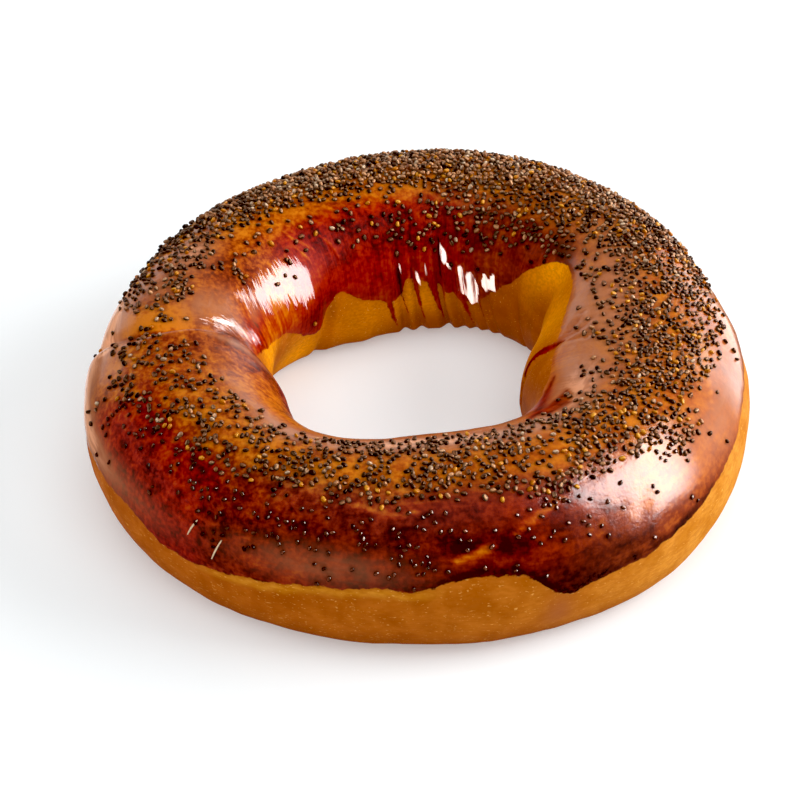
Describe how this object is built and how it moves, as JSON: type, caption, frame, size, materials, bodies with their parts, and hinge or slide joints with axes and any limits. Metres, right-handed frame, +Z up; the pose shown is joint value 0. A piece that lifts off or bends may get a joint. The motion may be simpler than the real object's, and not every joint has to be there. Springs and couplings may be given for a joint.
{
  "type": "poppy seed bagel",
  "caption": "Whole glazed bagel ring of baked dough with a lapped joint, a pleated hole wall, a flat base and poppy seeds stuck to its crown.",
  "frame": {"origin": "middle of the ring's footprint, on the surface that it lies on", "axes": "+Z up through the hole, -Y towards the side with the widest view of bare dough, the lapped joint at -X"},
  "size_m": [0.1208, 0.1198, 0.0319],
  "materials": {
    "crust": "egg-glazed baked crust, red-brown and glossy over the crown, bare golden tan low on the outside and in the hole, with dark poppy seeds"
  },
  "bodies": {
    "root": {"bagel": "crust"}
  },
  "joints": []
}
